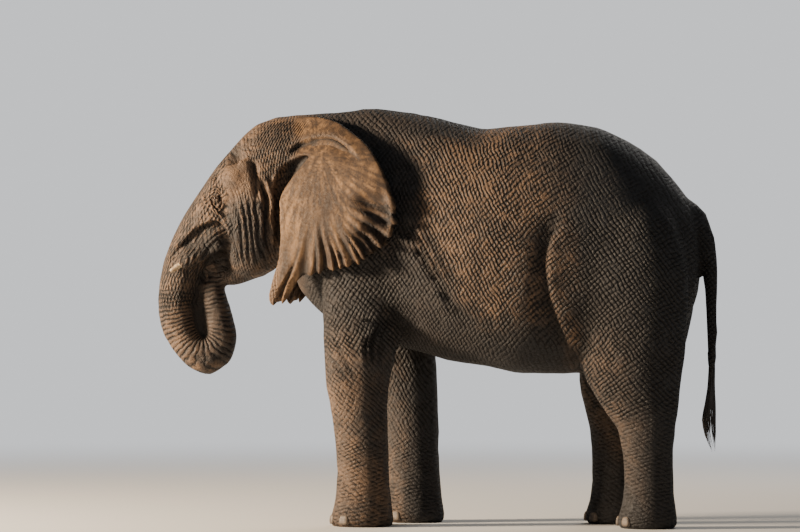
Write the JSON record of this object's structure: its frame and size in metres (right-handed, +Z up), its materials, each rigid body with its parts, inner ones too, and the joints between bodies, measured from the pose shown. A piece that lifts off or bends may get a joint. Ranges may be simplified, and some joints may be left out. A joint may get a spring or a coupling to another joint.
{
  "type": "african elephant",
  "caption": "Standing African savanna elephant, a still life-size model with its trunk curled up to its mouth.",
  "frame": {"origin": "on the ground, under the middle of the bounding box", "axes": "+X points to the tail and -X to the face, -Y is the left side of the animal, +Z is up"},
  "size_m": [4.2966, 1.441, 3.177],
  "materials": {
    "hide": "dry wrinkled hide, matte",
    "ear_hide": "dusty ear skin, matte",
    "ivory": "worn ivory, satin",
    "horn": "toenail horn, satin",
    "cornea": "wet brown eye",
    "tail_hair": "coarse black hair, satin"
  },
  "bodies": {
    "root": {"forearm_left": "hide", "fore_shin_left": "hide", "forefoot_left_nail_1": "horn", "forefoot_left_nail_2": "horn", "forefoot_left_nail_3": "horn", "forefoot_left_nail_4": "horn", "forefoot_left": "hide", "knee_left": "hide", "hind_shin_left": "hide", "hind_foot_left_nail_1": "horn", "hind_foot_left_nail_2": "horn", "hind_foot_left_nail_3": "horn", "hind_foot_left": "hide", "forearm_right": "hide", "fore_shin_right": "hide", "forefoot_right_nail_1": "horn", "forefoot_right_nail_2": "horn", "forefoot_right_nail_3": "horn", "forefoot_right_nail_4": "horn", "forefoot_right": "hide", "knee_right": "hide", "hind_shin_right": "hide", "hind_foot_right_nail_1": "horn", "hind_foot_right_nail_2": "horn", "hind_foot_right_nail_3": "horn", "hind_foot_right": "hide", "trunk_1": "hide", "trunk_2": "hide", "trunk_3": "hide", "trunk_4": "hide", "trunk_5": "hide", "tail": "hide", "tail_hair": "tail_hair", "lower_jaw": "hide", "eye_left": "cornea", "tusk_left": "ivory", "eye_right": "cornea", "tusk_right": "ivory", "head": "hide", "neck": "hide", "shoulder_left": "hide", "thigh_left": "hide", "shoulder_right": "hide", "thigh_right": "hide", "torso": "hide", "ear_left": "ear_hide", "ear_right": "ear_hide"}
  },
  "joints": []
}
